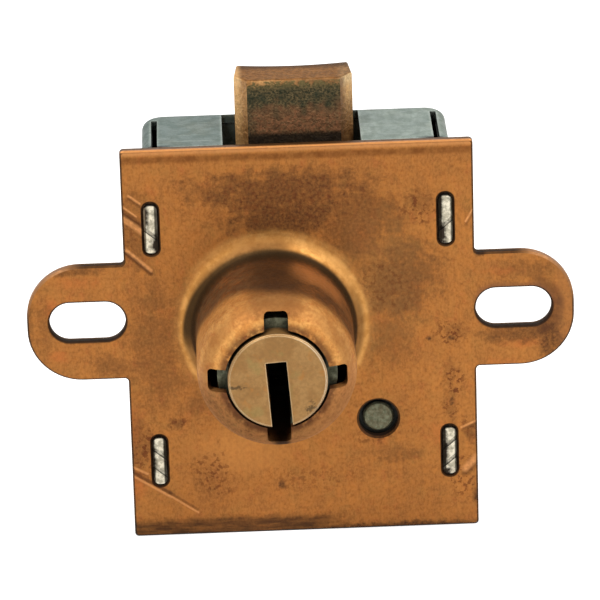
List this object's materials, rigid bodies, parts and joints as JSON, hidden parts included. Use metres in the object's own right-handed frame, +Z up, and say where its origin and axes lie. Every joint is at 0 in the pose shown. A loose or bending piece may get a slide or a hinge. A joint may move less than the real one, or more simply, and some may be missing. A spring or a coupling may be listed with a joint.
{
  "type": "mailbox lock",
  "caption": "Flat-key lever lock for a letterbox door: copper-plated face plate with slotted ears and drawn nozzle, zinc-plated case, brass plug, and a brass bolt thrown upwards.",
  "frame": {"origin": "midway between the two ear slots, on the face plate's front face", "axes": "+X right as seen from the key side, +Y away from the key into the case, +Z up towards the bolt"},
  "size_m": [0.0698, 0.0345, 0.0598],
  "materials": {
    "copper_plate": "copper-plated pressed steel, worn and stained",
    "zinc_plate": "zinc-plated folded steel",
    "grey_steel": "dull grey steel",
    "plug_brass": "turned brass, tan and dull",
    "bolt_brass": "cast brass, dark patina on the front face",
    "lever_brass": "rolled brass sheet",
    "spring_bronze": "phosphor bronze strip",
    "spring_steel": "spring steel",
    "post_steel": "turned steel, dull"
  },
  "bodies": {
    "case": {"face_plate": "copper_plate", "back_case": "zinc_plate", "barrel_sleeve": "grey_steel", "lever_post": "post_steel", "lever_spacer": "grey_steel", "lever_washer_1": "grey_steel", "lever_washer_2": "grey_steel", "lever_washer_3": "grey_steel", "guide_post": "post_steel", "guide_spacer": "grey_steel", "stop_pin": "post_steel"},
    "plug_group": {"plug": "plug_brass", "plug_clip": "spring_steel", "drive_disc": "grey_steel", "drive_pin": "grey_steel"},
    "bolt_group": {"bolt": "bolt_brass", "fence": "grey_steel"},
    "lever_1_group": {"lever_1": "lever_brass", "lever_spring_1": "spring_bronze"},
    "lever_2_group": {"lever_2": "lever_brass", "lever_spring_2": "spring_bronze"},
    "lever_3_group": {"lever_3": "lever_brass", "lever_spring_3": "spring_bronze"},
    "lever_4_group": {"lever_4": "lever_brass", "lever_spring_4": "spring_bronze"}
  },
  "joints": [
    {"name": "plug_turn", "type": "hinge", "parent": "case", "child": "plug_group", "pos_m": [-0.00345, 0, -0.0015], "axis": [0, -1, 0], "range_deg": [-4, 86]},
    {"name": "bolt_slide", "type": "slide", "parent": "case", "child": "bolt_group", "axis": [0, 0, -1], "range_m": [-0.00036, 0.00765]},
    {"name": "lever_1_swing", "type": "hinge", "parent": "case", "child": "lever_1_group", "pos_m": [0.00957, 0, -0.01464], "axis": [0, 1, 0], "range_deg": [-0.27, 5.74], "deforming": ["lever_spring_1"]},
    {"name": "lever_2_swing", "type": "hinge", "parent": "case", "child": "lever_2_group", "pos_m": [0.00957, 0, -0.01464], "axis": [0, 1, 0], "range_deg": [-0.34, 7.17], "deforming": ["lever_spring_2"]},
    {"name": "lever_3_swing", "type": "hinge", "parent": "case", "child": "lever_3_group", "pos_m": [0.00957, 0, -0.01464], "axis": [0, 1, 0], "range_deg": [-0.23, 4.78], "deforming": ["lever_spring_3"]},
    {"name": "lever_4_swing", "type": "hinge", "parent": "case", "child": "lever_4_group", "pos_m": [0.00957, 0, -0.01464], "axis": [0, 1, 0], "range_deg": [-0.29, 6.22], "deforming": ["lever_spring_4"]}
  ],
  "couplings": [
    {"joint": "bolt_slide", "follows": "plug_turn", "m_per_rad": 0.005093},
    {"joint": "lever_1_swing", "follows": "plug_turn", "ratio": 0.066667},
    {"joint": "lever_2_swing", "follows": "plug_turn", "ratio": 0.083333},
    {"joint": "lever_3_swing", "follows": "plug_turn", "ratio": 0.055556},
    {"joint": "lever_4_swing", "follows": "plug_turn", "ratio": 0.072222}
  ]
}
